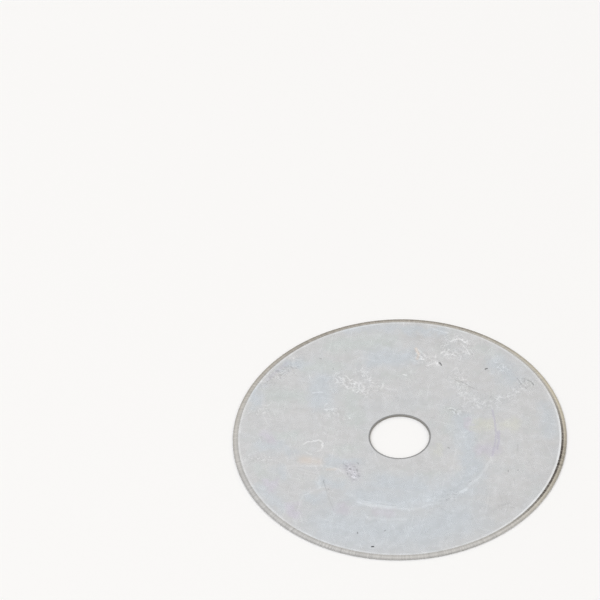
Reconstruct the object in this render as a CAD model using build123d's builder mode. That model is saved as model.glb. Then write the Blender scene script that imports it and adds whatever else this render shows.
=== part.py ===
from build123d import *
import math
import os

# A round blade for a rotary cutter: one thin disc of hardened tool steel, pierced for the
# cutter's pin and ground on both sides to a cutting edge that runs all the way round.
# The blade lies flat. The origin is on the axis of the bore, in the lower face, and +Z runs
# along the bore. All sizes are in millimetres and all angles in degrees.

# Disc
BLADE_DIAMETER = 45.0
BLADE_THICKNESS = 0.3

# Bore, with the rounding that piercing and tumbling leave at both of its mouths
BORE_DIAMETER = 8.0
BORE_EDGE_ROUNDING = 0.05

# Grind, measured on one side: a shallow shoulder bevel from the flat face, then the steeper
# cutting bevel, which meets its twin from the other side in the cutting edge
GRIND_WIDTH = 0.72
CUTTING_BEVEL_WIDTH = 0.42
CUTTING_ANGLE = 29.0

# Sizes that follow from these
blade_radius = BLADE_DIAMETER / 2
bore_radius = BORE_DIAMETER / 2
half_thickness = BLADE_THICKNESS / 2
face_radius = blade_radius - GRIND_WIDTH
cutting_bevel_radius = blade_radius - CUTTING_BEVEL_WIDTH
cutting_bevel_rise = CUTTING_BEVEL_WIDTH * math.tan(math.radians(CUTTING_ANGLE / 2))

os.makedirs("parts", exist_ok=True)

# Plane of the section: its X runs outwards and its Y along the bore, from mid-thickness
section_plane = Plane(origin=(0, 0, half_thickness), x_dir=(1, 0, 0), z_dir=(0, -1, 0))

with BuildPart() as blade:
    # The ground disc, turned from its section: the upper half drawn outwards from the axis,
    # then mirrored, so that both grinds meet in a sharp edge at mid-thickness
    with BuildSketch(section_plane):
        with BuildLine():
            Polyline(
                (0, half_thickness),
                (face_radius, half_thickness),
                (cutting_bevel_radius, cutting_bevel_rise),
                (blade_radius, 0),
            )
            mirror(about=Plane.XZ)
            Line((0, half_thickness), (0, -half_thickness))
        make_face()
    revolve(axis=Axis.Z)

    # The bore, through the disc, with its two mouths rounded
    with Locations((0, 0, half_thickness)):
        Hole(radius=bore_radius)
    bore_mouths = blade.edges().filter_by(GeomType.CIRCLE).group_by(SortBy.RADIUS)[0]
    fillet(bore_mouths, radius=BORE_EDGE_ROUNDING)

blade.part.label = "blade"
export_step(blade.part, "parts/blade.step")
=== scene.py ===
import math

import bpy
from mathutils import Euler, Matrix, Vector

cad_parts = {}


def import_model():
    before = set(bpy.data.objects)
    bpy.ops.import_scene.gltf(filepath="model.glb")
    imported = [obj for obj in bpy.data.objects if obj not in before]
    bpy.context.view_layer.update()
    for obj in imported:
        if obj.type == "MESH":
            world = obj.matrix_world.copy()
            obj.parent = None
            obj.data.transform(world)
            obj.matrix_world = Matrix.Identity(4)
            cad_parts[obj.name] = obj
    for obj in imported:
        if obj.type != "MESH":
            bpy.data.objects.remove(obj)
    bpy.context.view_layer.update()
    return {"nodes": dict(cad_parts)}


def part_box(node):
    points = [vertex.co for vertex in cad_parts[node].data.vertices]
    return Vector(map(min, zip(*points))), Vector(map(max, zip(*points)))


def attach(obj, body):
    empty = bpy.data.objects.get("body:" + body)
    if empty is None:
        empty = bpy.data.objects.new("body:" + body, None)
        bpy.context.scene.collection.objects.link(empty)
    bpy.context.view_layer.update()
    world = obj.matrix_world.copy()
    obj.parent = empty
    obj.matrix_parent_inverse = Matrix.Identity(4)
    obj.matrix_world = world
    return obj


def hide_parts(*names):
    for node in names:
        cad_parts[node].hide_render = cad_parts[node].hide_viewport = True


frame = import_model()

# All lengths in the scene are in metres. Heights and radii nearer than TINY are the same.
MM = 0.001
TINY = 1e-6

# Camera, where it stood for the photograph: a long lens, aimed beside the blade. Angles are in
# degrees, the lens and its sensor in millimetres.
AIM = Vector((-12.82, 27.04, 0.0)) * MM
CAMERA_DISTANCE = 862.4 * MM
CAMERA_ELEVATION = 44.74
CAMERA_ROLL = -1.88
LENS = 375.4
SENSOR = 36.0
CLIP_START = 0.01
CLIP_END = 20.0

# Fineness of the mesh: parts of a turn, and steps across each rounded mouth of the bore
TURN_STEPS = 720
MOUTH_STEPS = 6

# Studio
FLOOR_SIZE = 4.0
# The floor is a hair higher than the blade's lower face, which from below is then clear of it
FLOOR_RISE = 0.01 * MM
FLOOR_COLOUR = (0.93, 0.935, 0.95, 1.0)
LAMP_SIZE = 1.3
LAMP_POWER = 2.4
LAMP_PLACE = Vector((-0.55, -0.25, 0.95))
# The white tent round the blade: its light by height, where the horizon is 0 and the point
# straight above is 1. Past the last height it stays the same.
TENT = (
    (0.00, (0.42, 0.37, 0.32, 1.0)),
    (0.30, (0.55, 0.51, 0.46, 1.0)),
    (0.40, (0.86, 0.82, 0.75, 1.0)),
    (0.52, (0.92, 0.90, 0.86, 1.0)),
    (0.64, (1.00, 0.99, 0.98, 1.0)),
    (0.72, (1.00, 1.00, 1.00, 1.0)),
)
# Panels of the tent: the tint of each, then the bounds of its soft edges, in degrees from
# straight behind the blade to the right, and in degrees above the horizon
PANELS = (
    # Warm and bright on the right, dimmer and cooler on the left
    ((1.04, 0.985, 0.86, 1.0), (9.0, 27.0, 70.0, 110.0), (0.0, 5.0, 52.0, 64.0)),
    ((1.13, 1.14, 1.12, 1.0), (4.0, 10.0, 24.0, 34.0), (18.0, 22.0, 31.0, 38.0)),
    ((0.92, 0.93, 0.95, 1.0), (-110.0, -70.0, -20.0, -8.0), (40.0, 48.0, 75.0, 88.0)),
    # Dark gaps between the panels
    ((0.05, 0.035, 0.025, 1.0), (7.0, 14.0, 28.0, 39.0), (37.5, 43.5, 52.0, 58.0)),
    ((0.62, 0.60, 0.58, 1.0), (-13.0, -9.0, -4.0, -1.0), (26.0, 30.0, 33.0, 37.0)),
)

# Steel: the plain colour of the flat faces, the tints of their tarnish, the grind and the bore
NEUTRAL = (0.666, 0.669, 0.679, 1.0)
COOL = (0.634, 0.670, 0.709, 1.0)
SAGE = (0.634, 0.667, 0.665, 1.0)
STRAW = (0.752, 0.694, 0.652, 1.0)
OLIVE = (0.690, 0.694, 0.642, 1.0)
LILAC = (0.656, 0.641, 0.700, 1.0)
VIOLET = (0.570, 0.552, 0.640, 1.0)
GRIND = (0.578, 0.563, 0.540)
BORE = (0.30, 0.29, 0.27)
# Kinds of mark that tint the face, from the lowest to the topmost
TINTS = (
    ("sage", SAGE),
    ("cool", COOL),
    ("olive", OLIVE),
    ("lilac", LILAC),
    ("straw", STRAW),
    ("violet", VIOLET),
)
# Largest share of another colour in the clouds of the tarnish
CLOUD_SHARE = 0.25
# Least and greatest roughness of each surface
FACE_ROUGHNESS = (0.23, 0.33)
GRIND_ROUGHNESS = (0.15, 0.24)
BORE_ROUGHNESS = (0.35, 0.5)
# Painted shade and a painted highlight that change with the radius: where the change starts and
# ends, in millimetres, and its value before and after
# Painted shade along the mouth of the bore
MOUTH_SHADE = (4.15, 4.27, 0.45, 1.0)
# Painted highlight along the rim of the face, just inside the grind
RIM_HIGHLIGHT = (21.42, 21.60, 0.0, 1.0)
SHOULDER_SHADE = (21.96, 22.08, 0.88, 1.0)
EDGE_SHADE = (22.24, 22.36, 1.0, 0.83)
# Radius of the round stain, in millimetres
RING_RADIUS = 13.0
# Fine scratches: the way that each set of them runs, in degrees, and the seed of its noise
HAIRS = ((20.0, 41.0), (75.0, 43.0), (-80.0, 44.0))
# How much each pattern lightens the steel, or darkens it where it is below zero
TONES = {
    # Over the whole of a face
    "mottle": 0.13,
    "scratches": 0.06,
    "stray": 0.05,
    "smears": -0.045,
    # In the marks
    "curls": 0.20,
    "grains": 0.17,
    "film": -0.06,
    "ring": 0.08,
    "light": 0.035,
    "dim": -0.055,
    # This one is taken off
    "freckles": 0.20,
    # On the grind and in the bore
    "streaks": 0.60,
    "slow": 0.14,
    "piercing": 0.3,
}

# Marks on the upper face: kind, half of the width in millimetres and strength, then the line
# that the mark follows, as points in millimetres from the bore's axis
MARKS = (
    # Places with threads and crumbs of dried residue
    ("crumbs", 1.8, 1.10, ((-8.0, 11.6), (-6.6, 10.4), (-5.4, 9.6), (-4.4, 8.6))),
    ("crumbs", 1.5, 0.80, ((-5.2, 12.8), (-4.0, 11.0), (-2.6, 9.4))),
    ("crumbs", 1.4, 1.00, ((2.4, 15.6), (4.0, 14.8), (5.8, 13.8))),
    ("crumbs", 1.1, 0.90, ((13.6, 12.9), (14.4, 12.3), (15.2, 12.6))),
    ("crumbs", 1.6, 1.10, (
        (6.6, 16.6), (7.4, 15.4), (9.2, 15.4), (10.2, 16.6), (9.0, 18.0), (7.6, 18.4),
    )),
    ("crumbs", 1.9, 0.85, ((8.2, 12.0), (8.6, 10.0), (9.0, 7.4), (9.8, 5.8), (12.6, 5.6))),
    ("crumbs", 1.7, 0.85, ((13.4, 6.4), (15.6, 7.0), (17.0, 9.2), (18.4, 9.2))),
    ("crumbs", 1.2, 0.90, ((-20.2, 5.4), (-17.8, 5.8))),
    ("crumbs", 1.6, 0.70, ((-9.8, 5.4), (-7.0, 3.8))),
    ("crumbs", 1.2, 0.90, ((-20.4, -3.2), (-18.2, -3.5))),
    ("crumbs", 1.4, 0.50, ((0.6, -12.9), (2.8, -12.4), (5.8, -12.0), (7.4, -11.0))),
    ("crumbs", 1.4, 0.70, ((-18.6, 10.4), (-16.4, 12.4), (-13.6, 14.8))),
    ("crumbs", 1.2, 1.00, ((6.6, 4.7), (8.4, 4.2))),
    ("crumbs", 1.4, 1.00, ((-7.0, -5.4), (-6.2, -7.2))),
    # The clearest of the threads
    ("curl", 0.17, 0.24, ((7.6, 17.7), (7.9, 18.0), (8.5, 18.2), (9.1, 18.0), (9.5, 17.5))),
    ("curl", 0.13, 0.19, ((9.2, 17.1), (9.4, 16.6), (9.7, 16.2), (9.9, 15.6), (10.1, 15.1))),
    ("curl", 0.14, 0.22, ((6.1, 15.4), (6.5, 15.8), (7.0, 15.8), (7.3, 16.2))),
    ("curl", 0.13, 0.20, ((6.7, 15.1), (7.2, 15.4), (7.8, 15.2), (8.2, 14.9))),
    ("curl", 0.12, 0.16, ((6.7, 17.0), (6.5, 16.5))),
    ("curl", 0.12, 0.16, ((8.9, 15.1), (8.9, 14.6), (8.7, 14.1))),
    ("curl", 0.14, 0.19, ((5.4, 15.2), (5.4, 14.8))),
    ("curl", 0.16, 0.20, ((4.3, 13.3), (4.9, 13.5), (5.4, 13.8))),
    ("curl", 0.12, 0.20, ((5.6, 13.6), (5.8, 13.2))),
    ("curl", 0.14, 0.22, ((3.5, 14.5), (3.9, 14.4))),
    ("curl", 0.14, 0.18, ((3.1, 16.4), (3.6, 15.7), (3.9, 15.4))),
    ("curl", 0.12, 0.14, ((2.0, 14.5), (2.6, 14.2))),
    ("curl", 0.13, 0.18, ((8.1, 9.9), (8.4, 9.6))),
    ("curl", 0.14, 0.15, ((8.9, 10.7), (9.1, 10.2))),
    ("curl", 0.12, 0.15, ((9.5, 10.6), (9.3, 10.2))),
    ("curl", 0.12, 0.18, ((7.0, 5.1), (7.4, 5.0), (7.7, 4.6))),
    ("curl", 0.11, 0.16, ((7.1, 4.5), (7.5, 4.4), (7.6, 4.0))),
    ("curl", 0.12, 0.14, ((13.9, 11.8), (14.3, 11.9), (14.6, 11.7))),
    ("curl", 0.14, 0.16, ((-7.9, 11.6), (-7.4, 11.2), (-7.0, 11.3))),
    ("curl", 0.16, 0.13, ((-7.0, 11.9), (-6.7, 11.5), (-6.3, 10.9), (-6.6, 10.4))),
    ("curl", 0.14, 0.16, (
        (-8.2, 10.6), (-7.4, 10.6), (-7.1, 10.1), (-6.9, 9.6), (-6.6, 9.3), (-6.3, 9.5),
    )),
    ("curl", 0.17, 0.14, ((-6.1, 9.3), (-5.8, 9.9), (-5.5, 10.5), (-5.9, 10.7))),
    ("curl", 0.13, 0.13, ((-5.1, 10.4), (-5.1, 9.9))),
    ("curl", 0.13, 0.11, ((-4.9, 12.9), (-4.7, 12.5), (-4.2, 12.2), (-4.0, 11.4), (-3.9, 10.8))),
    ("curl", 0.16, 0.13, ((-4.8, 9.9), (-4.5, 9.2), (-4.7, 8.5), (-4.4, 8.1), (-4.0, 8.3))),
    ("curl", 0.12, 0.11, ((-3.3, 9.8), (-3.0, 9.3), (-2.7, 9.2), (-2.5, 9.7))),
    ("curl", 0.12, 0.11, ((-2.3, 9.2), (-1.9, 9.6), (-1.9, 10.0))),
    ("curl", 0.12, 0.11, ((-5.6, 8.5), (-5.3, 8.8), (-5.2, 9.2))),
    ("curl", 0.12, 0.14, ((-11.9, 12.3), (-11.8, 11.6))),
    ("curl", 0.12, 0.14, ((-10.0, 6.2), (-9.6, 6.7))),
    # Pale lines
    ("pale", 0.17, 0.24, ((-12.9, -0.9), (-12.2, -0.4), (-11.0, -0.2), (-10.5, -0.6), (-10.4, -1.4))),
    ("pale", 0.15, 0.14, ((-10.4, -1.4), (-10.7, -1.9), (-11.4, -2.3))),
    ("pale", 0.14, 0.18, ((-12.4, -2.5), (-12.0, -2.9))),
    ("pale", 0.14, 0.08, (
        (-10.6, -8.9), (-11.8, -9.5), (-13.2, -10.3), (-13.8, -11.7), (-14.0, -13.0), (-13.4, -15.4),
    )),
    ("pale", 0.25, 0.06, ((-15.0, -4.9), (-11.0, -4.9), (-7.6, -6.0))),
    ("pale", 0.40, 0.07, ((-4.8, -14.8), (-2.6, -15.2), (0.2, -15.3))),
    ("pale", 0.24, 0.05, ((-3.4, -15.8), (-1.0, -15.9), (0.0, -15.8))),
    ("pale", 0.16, 0.11, ((-18.6, 6.8), (-17.8, 6.7), (-17.2, 7.2))),
    ("pale", 0.14, 0.14, ((5.0, 20.5), (7.4, 19.4))),
    ("pale", 0.12, 0.20, ((-11.4, 8.7), (-10.2, 8.8))),
    ("pale", 0.12, 0.16, ((-10.0, 5.4), (-8.4, 5.6))),
    ("pale", 0.14, 0.30, ((1.0, 11.8), (1.4, 11.6))),
    ("pale", 0.28, 0.08, ((-11.1, -7.8), (-10.9, -9.0))),
    ("pale", 0.20, 0.09, ((-10.2, -5.0), (-9.2, -5.2), (-8.4, -5.7), (-7.8, -6.2))),
    # Strokes of the round stain
    ("pale", 0.34, 0.05, ((-7.2, -10.4), (-5.6, -11.6), (-3.6, -12.3), (-1.4, -12.6))),
    ("pale", 0.30, 0.06, ((-5.8, -11.8), (-4.0, -12.8), (-1.6, -13.2))),
    ("pale", 0.50, 0.06, ((-3.0, -12.8), (-0.8, -12.9))),
    ("pale", 0.30, 0.16, ((7.9, -10.6), (8.7, -10.1))),
    ("pale", 0.28, 0.08, ((8.9, -9.7), (10.4, -7.8), (11.6, -6.0), (12.2, -4.6))),
    # Grains in the scuffed place beside the bore
    ("pale", 0.22, 0.20, ((-7.0, -6.1), (-6.9, -6.3))),
    ("pale", 0.24, 0.16, ((-6.5, -6.4), (-6.3, -6.6))),
    ("pale", 0.22, 0.16, ((-6.6, -7.0), (-6.4, -7.3))),
    ("pale", 0.20, 0.12, ((-6.0, -7.4), (-5.9, -7.6))),
    ("dark", 0.18, 0.26, ((-6.9, -5.7), (-6.7, -5.8))),
    ("dark", 0.18, 0.30, ((-6.0, -5.8), (-5.9, -6.2))),
    ("dark", 0.16, 0.24, ((-7.2, -6.5), (-7.2, -6.7))),
    ("dark", 0.16, 0.24, ((-6.8, -6.9), (-6.7, -6.9))),
    ("dark", 0.15, 0.22, ((-5.8, -7.0), (-5.6, -7.2))),
    ("dark", 0.18, 0.16, ((-7.4, -5.1), (-7.2, -5.3))),
    ("dark", 0.16, 0.16, ((-6.5, -5.3), (-6.2, -5.4))),
    ("dark", 0.14, 0.24, ((-5.9, -4.6), (-5.7, -4.8))),
    # Dark flecks
    ("dark", 0.17, 0.85, ((-4.4, -20.1), (-4.2, -20.1))),
    ("dark", 0.15, 0.70, ((12.1, 12.2), (12.3, 12.3))),
    ("dark", 0.12, 0.65, ((5.9, 13.8), (6.15, 13.2))),
    ("dark", 0.10, 0.45, ((18.3, 9.3), (18.5, 8.9))),
    ("dark", 0.11, 0.40, ((17.4, 8.4), (17.5, 8.3))),
    ("dark", 0.10, 0.25, ((7.0, 17.5), (7.0, 17.4))),
    ("dark", 0.10, 0.30, ((10.4, 15.2), (10.4, 15.1))),
    ("dark", 0.10, 0.30, ((6.4, -2.3), (6.6, -2.5))),
    ("dark", 0.10, 0.35, ((15.6, -7.0), (15.6, -6.9))),
    ("dark", 0.09, 0.30, ((14.3, -7.2), (14.3, -7.0))),
    ("dark", 0.08, 0.30, ((17.5, -4.3), (17.5, -4.2))),
    ("dark", 0.12, 0.45, ((-6.2, -17.6), (-6.2, -17.4))),
    ("dark", 0.11, 0.40, ((-2.6, -17.3), (-2.5, -17.2))),
    ("dark", 0.09, 0.30, ((-10.5, 15.4), (-10.2, 15.2))),
    ("dark", 0.09, 0.30, ((-6.8, 16.6), (-6.8, 16.7))),
    ("dark", 0.10, 0.22, ((-8.6, 13.4), (-8.6, 13.1))),
    ("dark", 0.12, 0.18, ((-14.3, 13.9), (-14.1, 13.5))),
    ("dark", 0.12, 0.16, ((-15.3, 12.8), (-15.9, 12.1))),
    ("dark", 0.12, 0.24, ((-10.4, -7.6), (-10.5, -8.1))),
    ("dark", 0.10, 0.24, ((-9.9, -9.3), (-9.8, -9.5))),
    ("dark", 0.14, 0.16, ((9.1, -8.8), (9.3, -8.7))),
    ("dark", 0.14, 0.14, ((5.5, -10.3), (5.7, -10.6))),
    ("dark", 0.14, 0.14, ((5.8, -11.9), (5.9, -12.1))),
    # Dark threads and scuffs
    ("thread", 0.13, 0.22, ((16.3, 10.3), (16.7, 9.4), (16.9, 9.0))),
    ("thread", 0.13, 0.26, ((17.7, 9.9), (18.2, 9.5), (18.5, 8.9))),
    ("thread", 0.12, 0.18, ((17.0, 10.2), (17.4, 10.2), (17.3, 9.6))),
    ("thread", 0.13, 0.16, ((8.0, 10.2), (8.7, 10.0), (9.2, 9.6), (9.9, 8.9), (10.4, 8.6))),
    ("thread", 0.12, 0.16, ((6.9, 4.8), (7.4, 4.7), (7.8, 4.0))),
    ("thread", 0.13, 0.14, ((-10.4, -8.1), (-10.1, -9.7))),
    ("thread", 0.12, 0.07, ((-10.1, -9.7), (-9.8, -11.2), (-9.2, -13.4))),
    ("thread", 0.12, 0.09, ((15.8, -2.2), (15.7, -3.4))),
    ("thread", 0.12, 0.08, ((15.0, -8.6), (15.1, -9.6))),
    ("thread", 0.12, 0.07, ((12.9, -11.0), (13.2, -12.8))),
    ("thread", 0.30, 0.08, ((12.8, -13.4), (14.2, -13.0))),
    ("thread", 0.14, 0.08, ((-5.2, -11.5), (-4.0, -12.0), (-2.0, -12.6), (-1.0, -12.8))),
    ("thread", 0.12, 0.06, ((-5.8, -12.7), (-4.3, -13.1))),
    # Scuffed places, finely freckled with dark
    ("freckles", 1.8, 1.3, ((-17.8, 11.2), (-16.0, 12.8), (-13.8, 14.0))),
    ("freckles", 1.5, 1.3, ((-7.0, -5.2), (-6.2, -7.0))),
    ("freckles", 1.5, 0.9, ((4.8, -10.6), (6.6, -11.4))),
    ("freckles", 1.2, 0.8, ((13.8, -5.8), (13.9, -7.0))),
    ("freckles", 1.4, 0.7, ((13.0, -13.6), (14.4, -13.8))),
    ("freckles", 1.4, 0.9, ((7.0, 4.6), (8.4, 4.4))),
    ("freckles", 2.0, 0.6, ((7.0, 11.6), (10.0, 8.6), (12.6, 7.0))),
    ("freckles", 1.4, 0.5, ((16.4, 9.6), (18.4, 9.2))),
    ("freckles", 1.6, 0.5, ((3.0, 14.4), (8.0, 16.0))),
    # Tarnish, bluish round the lower right of the bore and in patches elsewhere
    ("cool", 2.8, 1.0, ((8.7, 3.0), (9.0, -3.0), (10.0, -6.0), (8.0, -9.5))),
    ("cool", 4.4, 1.0, ((8.0, -9.5), (4.0, -11.5), (-1.0, -12.0), (-5.5, -11.0))),
    ("cool", 6.5, 1.0, ((-9.5, -16.2), (-4.0, -17.2), (2.0, -17.6), (7.0, -15.5))),
    ("cool", 3.4, 1.0, ((-2.8, -8.6), (2.0, -9.5))),
    ("cool", 2.0, 0.9, ((-12.6, -10.8), (-11.4, -11.0))),
    ("cool", 1.8, 0.9, ((-10.8, -8.0), (-8.2, -8.6))),
    ("cool", 1.7, 0.8, ((-9.4, -4.2), (-6.2, -4.4))),
    ("cool", 2.0, 0.8, ((-18.2, -1.0), (-16.5, -1.4))),
    ("cool", 1.5, 0.7, ((-15.0, -1.6), (-14.4, -2.2))),
    ("cool", 1.6, 0.7, ((-16.4, -5.4), (-16.0, -6.4))),
    ("cool", 2.2, 0.8, ((-18.6, -9.0), (-16.2, -12.5))),
    ("cool", 3.0, 1.0, ((-10.2, 11.0), (-10.6, 7.0))),
    ("cool", 3.0, 1.0, ((-3.0, 15.0), (1.5, 15.0))),
    ("cool", 1.8, 1.0, ((-15.0, 14.2), (-13.2, 14.4))),
    ("cool", 1.8, 0.9, ((-19.4, 9.6), (-19.2, 7.0))),
    ("cool", 1.4, 0.7, ((-6.0, 20.6), (0.0, 20.8))),
    ("cool", 1.5, 0.9, ((1.5, 20.3), (6.5, 19.6))),
    ("cool", 2.6, 0.9, ((13.8, 13.2), (15.6, 10.4))),
    ("cool", 2.0, 0.7, ((20.0, 5.0), (20.2, 0.0))),
    # Patches of greenish tarnish
    ("sage", 2.4, 0.9, ((-8.5, 17.8), (-1.0, 18.0))),
    ("sage", 2.0, 0.9, ((-12.0, 13.8), (-8.5, 13.6))),
    ("sage", 2.4, 0.9, ((-16.8, 8.6), (-13.5, 8.2))),
    ("sage", 2.2, 0.8, ((-6.6, 8.0), (-5.6, 3.0))),
    ("sage", 1.8, 0.8, ((-16.5, 0.6), (-13.8, 0.8))),
    ("sage", 1.8, 0.7, ((-18.8, -5.0), (-17.8, -8.0))),
    ("sage", 1.6, 0.6, ((-8.5, -2.0), (-6.5, -2.0))),
    ("sage", 2.0, 0.6, ((6.8, 4.5), (6.8, 0.5))),
    ("sage", 2.0, 0.6, ((12.0, 15.6), (13.6, 14.4))),
    ("sage", 1.8, 0.5, ((-1.5, 11.5), (1.5, 11.5))),
    ("sage", 1.6, 0.5, ((3.6, -7.2), (4.8, -7.2))),
    # Straw, olive and violet stains
    ("straw", 1.3, 0.85, ((-13.0, -3.8), (-12.4, -3.9))),
    ("straw", 1.2, 0.55, ((-11.8, -4.0), (-11.0, -4.2))),
    ("straw", 0.45, 0.5, ((-9.9, -5.7), (-8.9, -5.7))),
    ("straw", 0.36, 1.0, ((2.8, 16.6), (2.9, 16.1), (3.1, 15.6))),
    ("straw", 0.36, 0.8, ((3.1, 15.4), (2.9, 14.6))),
    ("olive", 1.8, 0.8, ((10.8, 1.7), (12.2, 1.4))),
    ("olive", 1.6, 0.7, ((14.6, 1.6), (15.6, 1.6))),
    ("olive", 1.2, 0.5, ((5.0, -2.2), (5.2, -3.4))),
    ("violet", 0.24, 0.7, ((12.7, 4.4), (12.9, 2.4), (13.0, 0.0), (12.8, -1.8), (12.3, -4.1))),
    ("violet", 0.26, 0.80, ((13.4, 0.4), (13.35, -1.2), (13.0, -2.9))),
    ("violet", 0.34, 0.80, ((13.2, 0.2), (13.25, -1.0))),
    ("lilac", 1.7, 0.9, ((11.0, -2.9), (12.4, -3.0))),
    ("lilac", 0.6, 0.8, ((9.5, 2.6), (9.5, 0.8))),
    ("violet", 1.6, 0.40, ((-6.9, -5.4), (-6.3, -7.0))),
    ("violet", 1.3, 0.10, ((-8.2, -12.6), (-8.0, -13.4))),
    ("violet", 1.3, 0.12, ((-14.8, -12.4), (-14.4, -13.4))),
    ("violet", 0.5, 0.30, ((-17.6, 11.6), (-16.4, 13.0), (-15.0, 14.6))),
    ("lilac", 1.5, 0.7, ((-8.2, -12.6), (-8.0, -13.4))),
    ("lilac", 1.4, 1.0, ((-14.8, -12.4), (-14.4, -13.4))),
    ("lilac", 1.4, 0.9, ((-17.8, 0.8), (-17.4, 0.2))),
    ("lilac", 1.4, 1.0, ((-17.8, -7.8), (-17.2, -8.6))),
    ("lilac", 1.1, 0.6, ((-3.8, -13.8), (-1.6, -14.0))),
    # Places that are a little paler or dimmer
    ("light", 5.0, 0.8, ((15.5, 5.0), (16.0, -3.0), (14.0, -8.0))),
    ("light", 3.2, 1.0, ((5.5, 14.0), (8.0, 11.0), (8.4, 8.0))),
    ("light", 2.2, 1.0, ((9.5, 17.8), (10.5, 16.8))),
    ("light", 2.4, 0.9, ((8.0, -1.0), (7.0, -6.0), (3.0, -11.5), (0.5, -12.8))),
    ("light", 1.6, 0.9, ((-0.4, -12.7), (2.2, -12.8))),
    ("light", 2.5, 0.6, ((-9.5, 3.0), (-10.0, -1.5))),
    ("dim", 2.0, 1.0, ((2.6, 18.7), (6.2, 17.7))),
    ("dim", 2.4, 0.7, ((12.2, -14.0), (13.8, -12.8))),
    ("dim", 3.0, 0.5, ((-12.5, -13.4), (-8.0, -11.6))),
    ("dim", 2.6, 0.6, ((-17.6, 12.0), (-17.0, 9.0))),
    ("dim", 1.5, 0.7, ((-15.0, 13.6), (-14.2, 14.2))),
)
# Kinds that fade evenly outwards from their line. The others are at full strength over this
# share of their width.
PATCHES = ("crumbs", "freckles", "cool", "sage", "straw", "olive", "lilac", "violet", "light", "dim")
FULL_SHARE = 0.4
# Kinds whose outline wanders far
SOFT_KINDS = ("cool", "sage", "olive", "lilac", "light", "dim")


class Nodes:
    """Short ways to add nodes to the tree of a material or a world."""

    def __init__(self, tree):
        self.tree = tree

    def add(self, kind, inputs=None, **settings):
        """A new node. Its inputs are values, or the outputs that feed them."""
        node = self.tree.nodes.new(kind)
        for name, value in settings.items():
            setattr(node, name, value)
        for name, value in (inputs or {}).items():
            if isinstance(value, bpy.types.NodeSocket):
                self.tree.links.new(value, node.inputs[name])
            else:
                node.inputs[name].default_value = value
        return node

    def feed(self, node, sources):
        """Links outputs to the inputs of a node that is there already."""
        for name, output in sources.items():
            self.tree.links.new(output, node.inputs[name])

    def maths(self, operation, *values):
        return self.add("ShaderNodeMath", dict(enumerate(values)), operation=operation).outputs[0]

    def vector(self, operation, *values, measure=False):
        """Vector arithmetic, or a length, distance or product where measure is true."""
        node = self.add("ShaderNodeVectorMath", dict(enumerate(values)), operation=operation)
        return node.outputs["Value" if measure else "Vector"]

    def scaled(self, place, factor):
        return self.add("ShaderNodeVectorMath", {0: place, "Scale": factor}, operation="SCALE").outputs[0]

    def ramp(self, value, start, end, low=0.0, high=1.0):
        """A smooth step from low, where the value is start, to high, where it is end."""
        inputs = {"Value": value, "From Min": start, "From Max": end, "To Min": low, "To Max": high}
        # A smooth step stays within its bounds. The node's own clamp would only fill up the shader.
        node = self.add("ShaderNodeMapRange", inputs, interpolation_type="SMOOTHSTEP", clamp=False)
        return node.outputs[0]

    def moved(self, place, seed):
        """The place, moved to a part of the plane that each seed has for itself."""
        return self.vector("ADD", place, (seed * 37.0, seed * 53.0, 0.0))

    def noise(self, place, scale, detail, roughness, seed, output="Fac"):
        """Noise in the XY plane, round 0.5."""
        inputs = {
            "Vector": self.moved(place, seed),
            "Scale": scale,
            "Detail": detail,
            "Roughness": roughness,
        }
        return self.add("ShaderNodeTexNoise", inputs, noise_dimensions="2D").outputs[output]

    def swing(self, *settings):
        """Noise round zero."""
        return self.maths("SUBTRACT", self.noise(*settings), 0.5)

    def mix(self, share, first, second, blend="MIX"):
        """The colour first, with its share of the colour second over it."""
        # The node has sockets of its own for colours: inputs 6 and 7, and output 2
        inputs = {0: share, 6: first, 7: second}
        return self.add("ShaderNodeMix", inputs, data_type="RGBA", blend_type=blend).outputs[2]

    def total(self, *values):
        result = values[0]
        for value in values[1:]:
            result = self.maths("ADD", result, value)
        return result

    def product(self, *values):
        result = values[0]
        for value in values[1:]:
            result = self.maths("MULTIPLY", result, value)
        return result


def steel(name):
    """A new steel material: the material, its nodes and its shader."""
    material = bpy.data.materials.new(name)
    material.use_nodes = True
    shader = material.node_tree.nodes["Principled BSDF"]
    shader.inputs["Metallic"].default_value = 1.0
    return material, Nodes(material.node_tree), shader


def relief(nodes, height, strength, depth):
    """The normal of a surface that rises and falls a little, by the height."""
    return nodes.add("ShaderNodeBump", {"Height": height, "Strength": strength, "Distance": depth}).outputs[0]


def plan_place(nodes):
    """The place on the blade in millimetres, seen from above."""
    place = nodes.add("ShaderNodeTexCoord").outputs["Object"]
    return nodes.vector("MULTIPLY", place, (1 / MM, 1 / MM, 0.0))


def plan_turn(nodes, place):
    """The way from the bore's axis to the place, in degrees from +X."""
    parts = nodes.add("ShaderNodeSeparateXYZ", {"Vector": place}).outputs
    return nodes.maths("DEGREES", nodes.maths("ARCTAN2", parts["Y"], parts["X"]))


def warped(nodes, place, scale, reach, seed):
    """The place, moved about by up to half of reach, so that lines wander."""
    drift = nodes.noise(place, scale, 3.0, 0.6, seed, output="Color")
    push = nodes.vector("SUBTRACT", drift, (0.5, 0.5, 0.5))
    return nodes.vector("MULTIPLY_ADD", push, (reach, reach, 0.0), place)


def line_distance(nodes, place, points):
    """How far the place is from the nearest run between the points."""
    nearest = None
    for (x0, y0), (x1, y1) in zip(points, points[1:]):
        run = Vector((x1 - x0, y1 - y0, 0.0))
        offset = nodes.vector("SUBTRACT", place, (x0, y0, 0.0))
        along = nodes.vector("DOT_PRODUCT", offset, run / run.length_squared, measure=True)
        along = nodes.add("ShaderNodeClamp", {"Value": along}).outputs[0]
        distance = nodes.vector("DISTANCE", offset, nodes.scaled(tuple(run), along), measure=True)
        nearest = distance if nearest is None else nodes.maths("MINIMUM", nearest, distance)
    return nearest


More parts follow.
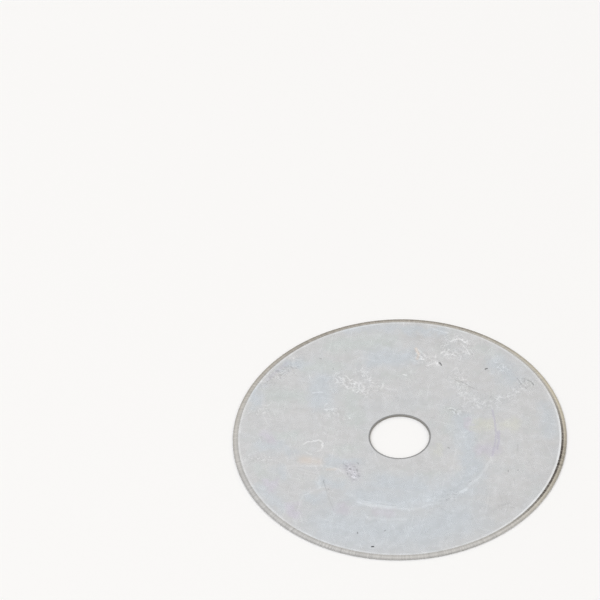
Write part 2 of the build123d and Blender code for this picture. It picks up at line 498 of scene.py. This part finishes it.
def mark_masks(nodes, place):
    """How strong each kind of mark is at the place."""
    wandering = warped(nodes, warped(nodes, place, 0.6, 0.8, 11.0), 2.5, 0.3, 12.0)
    ragged = warped(nodes, place, 4.0, 0.2, 13.0)
    soft = warped(nodes, place, 0.5, 2.8, 14.0)
    patchy = warped(nodes, place, 0.9, 1.8, 15.0)
    places = {"crumbs": patchy, "freckles": patchy, "pale": wandering}
    places.update(dict.fromkeys(SOFT_KINDS, soft))
    masks = {}
    for kind, width, strength, points in MARKS:
        distance = line_distance(nodes, places.get(kind, ragged), points)
        full = 0.0 if kind in PATCHES else FULL_SHARE
        mask = nodes.ramp(distance, width, width * full, 0.0, strength)
        masks[kind] = nodes.maths("MAXIMUM", masks[kind], mask) if kind in masks else mask
    return masks


def threads(nodes, place, spacing, width, seed):
    """Curly threads, broken here and there: 0 between them and 1 on them."""
    wandering = warped(nodes, place, 1.2 / spacing, 0.9 * spacing, seed)
    web = {"Vector": nodes.moved(wandering, seed), "Scale": 1 / spacing, "Randomness": 1.0}
    cells = nodes.add("ShaderNodeTexVoronoi", web, voronoi_dimensions="2D", feature="DISTANCE_TO_EDGE")
    lines = nodes.ramp(cells.outputs["Distance"], 0.5 * width / spacing, 0.1 * width / spacing)
    breaks = nodes.ramp(nodes.noise(place, 0.8 / spacing, 1.0, 0.5, seed + 2.0), 0.46, 0.54)
    return nodes.product(lines, breaks)


def hair_scratches(nodes, place):
    """Fine straight scratches in a few directions."""
    lines = []
    for turn, seed in HAIRS:
        inputs = {"Vector": place, "Angle": math.radians(turn)}
        turned = nodes.add("ShaderNodeVectorRotate", inputs, rotation_type="Z_AXIS").outputs[0]
        stretched = nodes.vector("MULTIPLY", turned, (0.15, 3.5, 0.0))
        lines.append(nodes.ramp(nodes.noise(stretched, 1.0, 2.0, 0.5, seed), 0.66, 0.76))
    return nodes.total(*lines)


def painted_rim_highlight(nodes, place, radius, turn):
    """How bright the painted highlight along the rim of the face is, just inside the grind: uneven, and
    brightest on the right.
    """
    uneven = nodes.ramp(nodes.noise(place, 0.6, 3.0, 0.6, 5.0), 0.35, 0.65, 0.07, 0.17)
    right = nodes.product(nodes.ramp(turn, 24.0, -4.0), nodes.ramp(turn, -70.0, -35.0), 0.20)
    return nodes.product(nodes.ramp(radius, *RIM_HIGHLIGHT), nodes.total(uneven, right))


def ring_stain(nodes, place, radius, turn):
    """How pale the arc of a round stain is: strokes along it that fade out at both ends."""
    drift = nodes.product(nodes.swing(place, 0.25, 2.0, 0.5, 51.0), 1.6)
    across = nodes.maths("SUBTRACT", nodes.total(radius, drift), RING_RADIUS)
    off = nodes.maths("ABSOLUTE", across)
    band = nodes.product(
        nodes.ramp(off, 1.0, 0.2), nodes.ramp(turn, -60.0, -80.0), nodes.ramp(turn, -140.0, -115.0)
    )
    stretched = {"X": nodes.product(turn, 0.035), "Y": nodes.product(across, 1.8)}
    along = nodes.add("ShaderNodeCombineXYZ", stretched).outputs[0]
    strokes = nodes.ramp(nodes.noise(along, 1.0, 2.0, 0.5, 52.0), 0.42, 0.66)
    return nodes.product(band, nodes.total(0.25, strokes))


def marks(nodes, place, radius, turn, colour, tone):
    """The colour and the tone of the steel with the marks on it."""
    masks = mark_masks(nodes, place)
    wide_curls = threads(nodes, place, 1.3, 0.20, 31.0)
    fine_curls = threads(nodes, place, 0.7, 0.17, 34.0)
    curls = nodes.maths("MAXIMUM", wide_curls, fine_curls)
    grains = nodes.ramp(nodes.noise(place, 1.9, 2.0, 0.6, 37.0), 0.52, 0.66)
    flecks = nodes.ramp(nodes.noise(place, 2.6, 2.0, 0.6, 38.0), 0.58, 0.70)
    for kind, tint in TINTS:
        colour = nodes.mix(masks[kind], colour, tint)
    residue = nodes.total(
        nodes.product(curls, TONES["curls"]), nodes.product(grains, TONES["grains"]), TONES["film"]
    )
    pale = nodes.total(
        nodes.product(masks["crumbs"], residue),
        nodes.product(ring_stain(nodes, place, radius, turn), TONES["ring"]),
        nodes.maths("MAXIMUM", masks["curl"], masks["pale"]),
        nodes.product(masks["light"], TONES["light"]),
        nodes.product(masks["dim"], TONES["dim"]),
    )
    freckles = nodes.product(masks["freckles"], flecks, TONES["freckles"])
    dark = nodes.maths("MAXIMUM", masks["dark"], masks["thread"])
    dark = nodes.maths("MAXIMUM", dark, freckles)
    return colour, nodes.product(nodes.total(tone, pale), nodes.maths("SUBTRACT", 1.0, dark))


def face(name, marked):
    """Flat steel with a faint tarnish, a soft mottle and fine scratches, a painted highlight along its rim
    and painted shade along the mouth of the bore.
    """
    material, nodes, shader = steel(name)
    place = plan_place(nodes)
    radius = nodes.vector("LENGTH", place, measure=True)
    turn = plan_turn(nodes, place)

    # Clouds of cooler and greener greys
    cool = nodes.ramp(nodes.noise(place, 0.16, 5.0, 0.6, 1.0), 0.44, 0.66, 0.0, CLOUD_SHARE)
    sage = nodes.ramp(nodes.noise(place, 0.3, 4.0, 0.6, 4.0), 0.48, 0.32, 0.0, CLOUD_SHARE)
    colour = nodes.mix(sage, nodes.mix(cool, NEUTRAL, COOL), SAGE)

    tone = nodes.total(
        1.0,
        nodes.product(nodes.swing(place, 0.5, 4.0, 0.6, 2.0), TONES["mottle"]),
        nodes.product(hair_scratches(nodes, place), TONES["scratches"]),
        # Painted highlight along the rim of the face, brightest on the right
        painted_rim_highlight(nodes, place, radius, turn),
        nodes.product(threads(nodes, place, 2.4, 0.2, 81.0), TONES["stray"]),
        nodes.product(threads(nodes, place, 2.0, 0.2, 84.0), TONES["smears"]),
    )
    # The marks lie flat in the face, so that the relief is only that of the steel itself
    normal = relief(nodes, tone, 0.05, 0.02 * MM)
    if marked:
        colour, tone = marks(nodes, place, radius, turn, colour, tone)
    # Painted shade: the steel is darker along the mouth of the bore
    tone = nodes.product(tone, nodes.ramp(radius, *MOUTH_SHADE))
    rough = nodes.ramp(nodes.noise(place, 0.8, 5.0, 0.65, 3.0), 0.3, 0.7, *FACE_ROUGHNESS)
    nodes.feed(shader, {"Base Color": nodes.scaled(colour, tone), "Roughness": rough, "Normal": normal})
    return material


def upper_face():
    return face("upper_face", marked=True)


def lower_face():
    return face("lower_face", marked=False)


def grind():
    """The ground rim, with fine streaks across it from the stone, and painted shade along its shoulder and
    its edge.
    """
    material, nodes, shader = steel("grind")
    place = plan_place(nodes)
    radius = nodes.vector("LENGTH", place, measure=True)
    outwards = nodes.vector("NORMALIZE", place)
    streaks = nodes.swing(outwards, 70.0, 3.0, 0.65, 61.0)
    slow = nodes.swing(outwards, 7.0, 4.0, 0.6, 62.0)
    tone = nodes.total(1.0, nodes.product(streaks, TONES["streaks"]), nodes.product(slow, TONES["slow"]))
    # Painted shade: darker lines along the grind's shoulder and along its edge
    tone = nodes.product(tone, nodes.ramp(radius, *SHOULDER_SHADE), nodes.ramp(radius, *EDGE_SHADE))
    rough = nodes.ramp(streaks, -0.3, 0.3, *GRIND_ROUGHNESS)
    normal = relief(nodes, streaks, 0.08, 0.01 * MM)
    nodes.feed(shader, {"Base Color": nodes.scaled(GRIND, tone), "Roughness": rough, "Normal": normal})
    return material


def bore():
    """The pierced wall of the bore, darker and rougher than the faces."""
    material, nodes, shader = steel("bore")
    outwards = nodes.vector("NORMALIZE", plan_place(nodes))
    streaks = nodes.swing(outwards, 60.0, 3.0, 0.6, 71.0)
    tone = nodes.total(1.0, nodes.product(streaks, TONES["piercing"]))
    rough = nodes.ramp(streaks, -0.3, 0.3, *BORE_ROUGHNESS)
    nodes.feed(shader, {"Base Color": nodes.scaled(BORE, tone), "Roughness": rough})
    return material


def blade_sizes():
    """The radii and heights of the blade's section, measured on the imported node."""
    low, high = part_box("blade")
    corners = [(math.hypot(v.co.x, v.co.y), v.co.z) for v in frame["nodes"]["blade"].data.vertices]
    flat = [r for r, z in corners if z > high.z - TINY]
    middle = (low.z + high.z) / 2
    shoulder, shoulder_top = min((r, z) for r, z in corners if r > max(flat) + TINY and z > middle)
    return {
        "bottom": low.z,
        "top": high.z,
        "middle": middle,
        "edge": min(-low.x, high.x, -low.y, high.y),
        "shoulder": shoulder,
        "shoulder_top": shoulder_top,
        "shoulder_bottom": low.z + high.z - shoulder_top,
        "face": max(flat),
        "mouth": min(flat),
        "bore": min(r for r, z in corners),
    }


def blade_section(size):
    """The section as runs of points, each with its finish. The next run starts where one ends."""
    rounding = size["mouth"] - size["bore"]

    def mouth(height, side):
        turns = [math.pi / 2 * step / MOUTH_STEPS for step in range(MOUTH_STEPS + 1)]
        return [
            (size["mouth"] - rounding * math.sin(a), height - side * rounding * (1 - math.cos(a)))
            for a in turns
        ]

    lower_mouth = mouth(size["bottom"], -1)
    upper_mouth = mouth(size["top"], 1)
    upper_rim = (size["face"], size["top"])
    upper_shoulder = (size["shoulder"], size["shoulder_top"])
    edge = (size["edge"], size["middle"])
    lower_shoulder = (size["shoulder"], size["shoulder_bottom"])
    lower_rim = (size["face"], size["bottom"])
    return [
        (lower_face, [lower_rim, lower_mouth[0]]),
        (bore, lower_mouth + upper_mouth[::-1]),
        (upper_face, [upper_mouth[0], upper_rim]),
        (grind, [upper_rim, upper_shoulder]),
        (grind, [upper_shoulder, edge]),
        (grind, [edge, lower_shoulder]),
        (grind, [lower_shoulder, lower_rim]),
    ]


def turned_mesh(name, runs):
    """The section turned round +Z. The circle that two runs share is a sharp edge."""
    finishes = list(dict.fromkeys(finish for finish, run in runs))
    points, slots, corners = [], [], set()
    for finish, run in runs:
        corners.add(len(points))
        for point in run[:-1]:
            points.append(point)
            slots.append(finishes.index(finish))
    count = len(points)
    vertices, faces = [], []
    for step in range(TURN_STEPS):
        a = 2 * math.pi * step / TURN_STEPS
        vertices += [(r * math.cos(a), r * math.sin(a), z) for r, z in points]
        here = step * count
        there = (step + 1) % TURN_STEPS * count
        for j in range(count):
            k = (j + 1) % count
            faces.append((here + j, there + j, there + k, here + k))
    mesh = bpy.data.meshes.new(name)
    mesh.from_pydata(vertices, [], faces)
    mesh.polygons.foreach_set("material_index", slots * TURN_STEPS)
    mesh.polygons.foreach_set("use_smooth", [True] * len(faces))
    for edge in mesh.edges:
        j, k = (v % count for v in edge.vertices)
        edge.use_edge_sharp = j == k and j in corners
    for finish in finishes:
        mesh.materials.append(finish())
    mesh.update()
    return mesh


def placed(name, data):
    """A new object of the scene with this mesh, lamp or camera."""
    thing = bpy.data.objects.new(name, data)
    bpy.context.scene.collection.objects.link(thing)
    return thing


def blade():
    piece = placed("blade_body", turned_mesh("blade_body", blade_section(blade_sizes())))
    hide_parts("blade")
    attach(piece, "root")


def floor():
    """A plain pale floor. It is clear from below, so that the underside can be looked at."""
    half = FLOOR_SIZE / 2
    corners = [(-half, -half, 0), (half, -half, 0), (half, half, 0), (-half, half, 0)]
    mesh = bpy.data.meshes.new("floor")
    mesh.from_pydata(corners, [], [(0, 1, 2, 3)])
    material = bpy.data.materials.new("floor")
    material.use_nodes = True
    nodes = Nodes(material.node_tree)
    shader = nodes.tree.nodes["Principled BSDF"]
    shader.inputs["Base Color"].default_value = FLOOR_COLOUR
    shader.inputs["Roughness"].default_value = 0.9
    shader.inputs["Specular IOR Level"].default_value = 0.0
    back = nodes.add("ShaderNodeNewGeometry").outputs["Backfacing"]
    clear = nodes.add("ShaderNodeBsdfTransparent").outputs[0]
    either = nodes.add("ShaderNodeMixShader", {0: back, 1: shader.outputs[0], 2: clear}).outputs[0]
    nodes.feed(nodes.tree.nodes["Material Output"], {"Surface": either})
    mesh.materials.append(material)
    ground = placed("floor", mesh)
    ground.location.z = FLOOR_RISE


def world():
    """A soft white tent of panels, brightest overhead."""
    sky = bpy.data.worlds.new("tent")
    bpy.context.scene.world = sky
    sky.use_nodes = True
    nodes = Nodes(sky.node_tree)
    way = nodes.add("ShaderNodeTexCoord").outputs["Generated"]
    parts = nodes.add("ShaderNodeSeparateXYZ", {"Vector": way})
    height = nodes.maths("ABSOLUTE", parts.outputs["Z"])
    fade = nodes.add("ShaderNodeValToRGB", {"Fac": height})
    stops = fade.color_ramp.elements
    for place, colour in TENT[1:-1]:
        stops.new(place)
    for stop, (place, colour) in zip(stops, TENT):
        stop.position = place
        stop.color = colour
    turn = nodes.maths("DEGREES", nodes.maths("ARCTAN2", parts.outputs["X"], parts.outputs["Y"]))
    rise = nodes.maths("DEGREES", nodes.maths("ARCSINE", parts.outputs["Z"]))
    light = fade.outputs["Color"]
    for tint, turns, rises in PANELS:
        panel = nodes.product(
            nodes.ramp(turn, turns[0], turns[1]),
            nodes.ramp(turn, turns[3], turns[2]),
            nodes.ramp(rise, rises[0], rises[1]),
            nodes.ramp(rise, rises[3], rises[2]),
        )
        light = nodes.mix(panel, light, tint, "MULTIPLY")
    nodes.feed(nodes.tree.nodes["Background"], {"Color": light})


def lamp():
    """One large soft lamp, aimed at the blade's middle."""
    data = bpy.data.lights.new("lamp", "AREA")
    data.shape = "DISK"
    data.size = LAMP_SIZE
    data.energy = LAMP_POWER
    light = placed("lamp", data)
    light.location = LAMP_PLACE
    # It shines along its own -Z
    light.rotation_euler = LAMP_PLACE.to_track_quat("Z", "Y").to_euler()


def camera():
    """The camera, turned about its own axis by its roll and backed off from where it aims."""
    data = bpy.data.cameras.new("camera")
    data.lens = LENS
    data.sensor_width = SENSOR
    data.clip_start = CLIP_START
    data.clip_end = CLIP_END
    eye = placed("camera", data)
    tilt = Euler((math.radians(90 - CAMERA_ELEVATION), 0, 0)).to_matrix()
    turn = tilt @ Matrix.Rotation(math.radians(CAMERA_ROLL), 3, "Z")
    eye.matrix_world = Matrix.Translation(AIM + turn @ Vector((0, 0, CAMERA_DISTANCE))) @ turn.to_4x4()
    bpy.context.scene.camera = eye


blade()
floor()
world()
lamp()
camera()
bpy.context.scene.view_settings.view_transform = "Standard"
